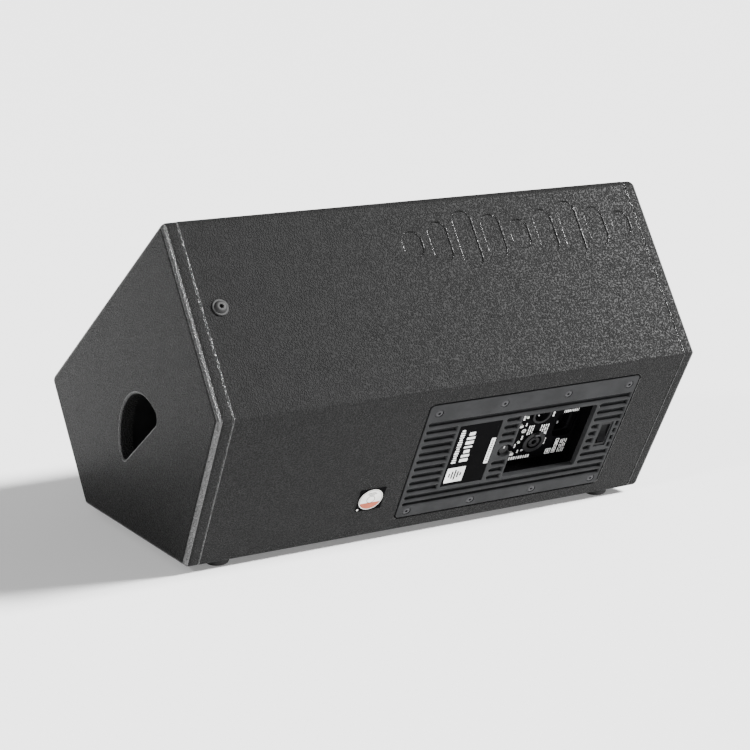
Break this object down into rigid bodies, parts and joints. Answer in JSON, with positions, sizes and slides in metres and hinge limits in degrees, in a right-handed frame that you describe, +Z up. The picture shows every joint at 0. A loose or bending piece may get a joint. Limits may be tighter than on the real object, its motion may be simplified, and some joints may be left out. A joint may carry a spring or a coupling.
{
  "type": "stage monitor wedge",
  "caption": "Powered two-way stage monitor wedge: textured black five-sided cabinet with a rear amplifier panel, finned plate, handle pocket, pole socket and rubber feet.",
  "frame": {"origin": "under the middle of the overall box, at the soles of the feet, as it lies on stage as a wedge", "axes": "+Z up; X along the cabinet's length, +X at the end with the handle pocket, -X at the end with the pole socket; the sloping grille faces -Y and up, the amplifier panel faces +Y"},
  "size_m": [0.59, 0.4592, 0.3644],
  "materials": {
    "cabinet_coating": "textured black acrylic coating on plywood",
    "grille_paint": "black powder coat",
    "grille_foam": "open-cell foam",
    "amp_plate_paint": "cast, satin dark grey powder coat",
    "printed_panel": "satin black with white print",
    "black_plastic": "fine matt",
    "switch_plastic": "semi-gloss",
    "key_white": "smooth",
    "led_lens": "clear diffusing",
    "latch_steel": "plated",
    "feet_rubber": "matt",
    "black_steel": "black oxide and black paint",
    "bare_steel": "zinc plated",
    "ferrite": "sintered, dull",
    "bare_aluminium": "as cast",
    "cone_paper": "pressed paper pulp",
    "spider_cloth": "resin-dipped cotton",
    "coil_copper": "enamelled copper wire",
    "circuit_board": "green solder resist"
  },
  "bodies": {
    "cabinet": {"side_panel_high": "cabinet_coating", "side_panel_low": "cabinet_coating", "base_panel": "cabinet_coating", "rear_panel": "cabinet_coating", "end_panel_top": "cabinet_coating", "end_panel_bottom": "cabinet_coating", "front_baffle": "cabinet_coating", "grille": "grille_paint", "grille_foam": "grille_foam", "heatsink_plate": "amp_plate_paint", "connector_tray": "printed_panel", "label_plate": "printed_panel", "handle_cup": "black_plastic", "pole_socket": "black_plastic", "horn_flare": "black_plastic", "port_tube_low": "black_plastic", "port_tube_high": "black_plastic", "hf_driver_cover": "black_plastic", "xlr_input_socket": "black_plastic", "xlr_link_plug": "black_plastic", "mains_inlet": "black_plastic", "mains_switch_housing": "black_plastic", "level_potentiometer": "black_plastic", "filter_capacitor": "black_plastic", "limit_led": "led_lens", "power_led": "led_lens", "foot_rear_top": "feet_rubber", "foot_rear_bottom": "feet_rubber", "foot_front_top": "feet_rubber", "foot_front_bottom": "feet_rubber", "woofer_surround": "feet_rubber", "rigging_bolt": "black_steel", "woofer_basket": "black_steel", "amp_housing": "black_steel", "plate_screw_1": "black_steel", "plate_screw_2": "black_steel", "plate_screw_3": "black_steel", "plate_screw_4": "black_steel", "plate_screw_5": "black_steel", "plate_screw_6": "black_steel", "plate_screw_7": "black_steel", "plate_screw_8": "black_steel", "woofer_top_plate": "bare_steel", "woofer_yoke": "bare_steel", "woofer_magnet": "ferrite", "hf_driver_magnet": "ferrite", "power_transformer": "ferrite", "hf_driver_body": "bare_aluminium", "heat_transfer_bar": "bare_aluminium", "woofer_spider": "spider_cloth", "amp_circuit_board": "circuit_board", "control_board": "circuit_board"},
    "woofer_moving_assembly": {"woofer_cone": "cone_paper", "woofer_dust_cap": "cone_paper", "woofer_voice_coil": "coil_copper"},
    "level_knob_body": {"level_knob": "switch_plastic"},
    "mains_rocker_body": {"mains_rocker": "switch_plastic"},
    "gain_button_body": {"gain_button": "key_white"},
    "contour_button_body": {"contour_button": "key_white"},
    "xlr_latch_body": {"xlr_input_latch": "latch_steel"}
  },
  "joints": [
    {"name": "woofer_cone_travel", "type": "slide", "parent": "cabinet", "child": "woofer_moving_assembly", "axis": [0, -0.5446, 0.8387], "range_m": [-0.005, 0.005], "stiffness_N_per_m": 6000},
    {"name": "level_knob_turn", "type": "hinge", "parent": "cabinet", "child": "level_knob_body", "pos_m": [-0.07335, 0.16739, 0.09728], "axis": [0, 0.8712, -0.4909], "range_deg": [-150, 150]},
    {"name": "mains_rocker_tilt", "type": "hinge", "parent": "cabinet", "child": "mains_rocker_body", "pos_m": [-0.20725, 0.17187, 0.09504], "axis": [-1, 0, 0], "range_deg": [0, 16]},
    {"name": "gain_button_push", "type": "slide", "parent": "cabinet", "child": "gain_button_body", "axis": [0, -0.8712, 0.4909], "range_m": [0, 0.0015], "stiffness_N_per_m": 400},
    {"name": "contour_button_push", "type": "slide", "parent": "cabinet", "child": "contour_button_body", "axis": [0, -0.8712, 0.4909], "range_m": [0, 0.0015], "stiffness_N_per_m": 400},
    {"name": "xlr_latch_push", "type": "slide", "parent": "cabinet", "child": "xlr_latch_body", "axis": [0, -0.8712, 0.4909], "range_m": [0, 0.0015], "stiffness_N_per_m": 500}
  ]
}
